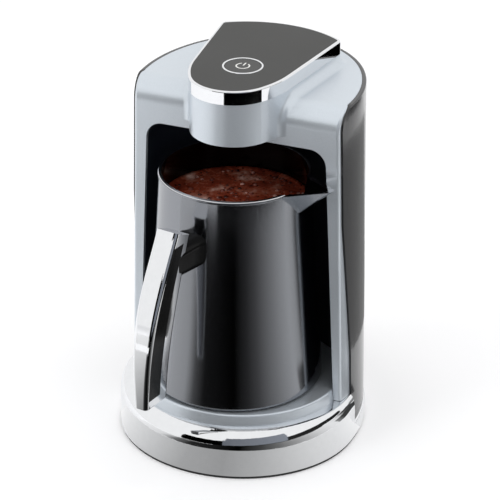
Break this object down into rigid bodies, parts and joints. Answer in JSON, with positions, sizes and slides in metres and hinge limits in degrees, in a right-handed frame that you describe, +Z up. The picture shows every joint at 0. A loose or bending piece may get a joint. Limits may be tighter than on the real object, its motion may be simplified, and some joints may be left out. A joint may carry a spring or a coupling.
{
  "type": "electric turkish coffee maker",
  "caption": "Electric Turkish coffee maker: a spouted, handled pot on a heating plate under a projecting head with a push button, on a chrome base ring.",
  "frame": {"origin": "on the table, under the middle of the whole footprint, handle included", "axes": "+Z up, +Y to the rear (cord side), +X to the right of someone facing the machine"},
  "size_m": [0.134, 0.181, 0.2113],
  "materials": {
    "silver_front": "satin silver lacquer, faintly blue",
    "black_shell": "gloss black moulding",
    "black_liner": "satin black moulding",
    "chrome": "polished plating",
    "panel_grey": "satin dark grey with a fine metallic fleck",
    "button_grey": "satin grey moulding",
    "icon_pale": "pale inlay",
    "rubber_black": "matt rubber",
    "plate_dark": "dark non-stick coating",
    "pot_black": "gloss black enamel-like coating",
    "black_trim": "gloss black heat-proof moulding",
    "steel": "zinc-plated steel",
    "shield_metal": "plain sheet",
    "board": "green solder mask",
    "black_parts": "matt black cases of small parts",
    "wire_red": "silicone sleeve",
    "window_clear": "dark red tinted window",
    "coffee": "dark coffee with a tan foam"
  },
  "bodies": {
    "base": {"foot_ring": "rubber_black", "base_pan": "black_liner", "base_ring": "chrome", "deck_plate": "silver_front", "base_screws": "steel", "front_frame": "silver_front", "rear_shell": "black_shell", "cavity_liner": "black_liner", "cord_grommet": "rubber_black", "heating_plate": "plate_dark", "heating_element": "steel", "heat_shield": "shield_metal", "thermostat": "steel", "thermal_fuse": "black_parts", "temperature_probe": "steel", "head_bezel": "chrome", "top_panel": "panel_grey", "button_ring": "chrome", "head_chassis": "black_liner", "control_board": "board", "control_board_screws": "steel", "push_switch": "black_parts", "buzzer": "black_parts", "snout_cover": "black_liner", "sensor_window": "window_clear", "foam_sensor": "black_parts", "power_board": "board", "power_board_screws": "steel", "relay": "black_parts", "terminal_block": "board", "capacitor": "black_parts", "heater_wires": "wire_red", "probe_wire": "wire_red", "head_cable": "black_parts", "button_spring": "steel"},
    "pot": {"pot_vessel": "pot_black", "handle_boss": "black_trim", "handle_frame": "chrome", "handle_inlay_left": "black_trim", "handle_inlay_right": "black_trim", "handle_stud": "steel"},
    "button": {"button_cap": "button_grey", "button_icon": "icon_pale", "button_clip": "steel"},
    "plunger": {"switch_plunger": "icon_pale"}
  },
  "joints": [
    {"name": "pot_out", "type": "slide", "parent": "base", "child": "pot", "axis": [0, -0.9986, 0.0523], "range_m": [0, 0.16]},
    {"name": "button_press", "type": "slide", "parent": "base", "child": "button", "axis": [0, 0, -1], "range_m": [0, 0.0008], "stiffness_N_per_m": 2000, "springref_m": -0.0003, "deforming": ["button_spring"]},
    {"name": "plunger_press", "type": "slide", "parent": "base", "child": "plunger", "axis": [0, 0, -1], "range_m": [0, 0.0008], "stiffness_N_per_m": 300}
  ],
  "couplings": [
    {"joint": "plunger_press", "follows": "button_press", "ratio": 1}
  ]
}
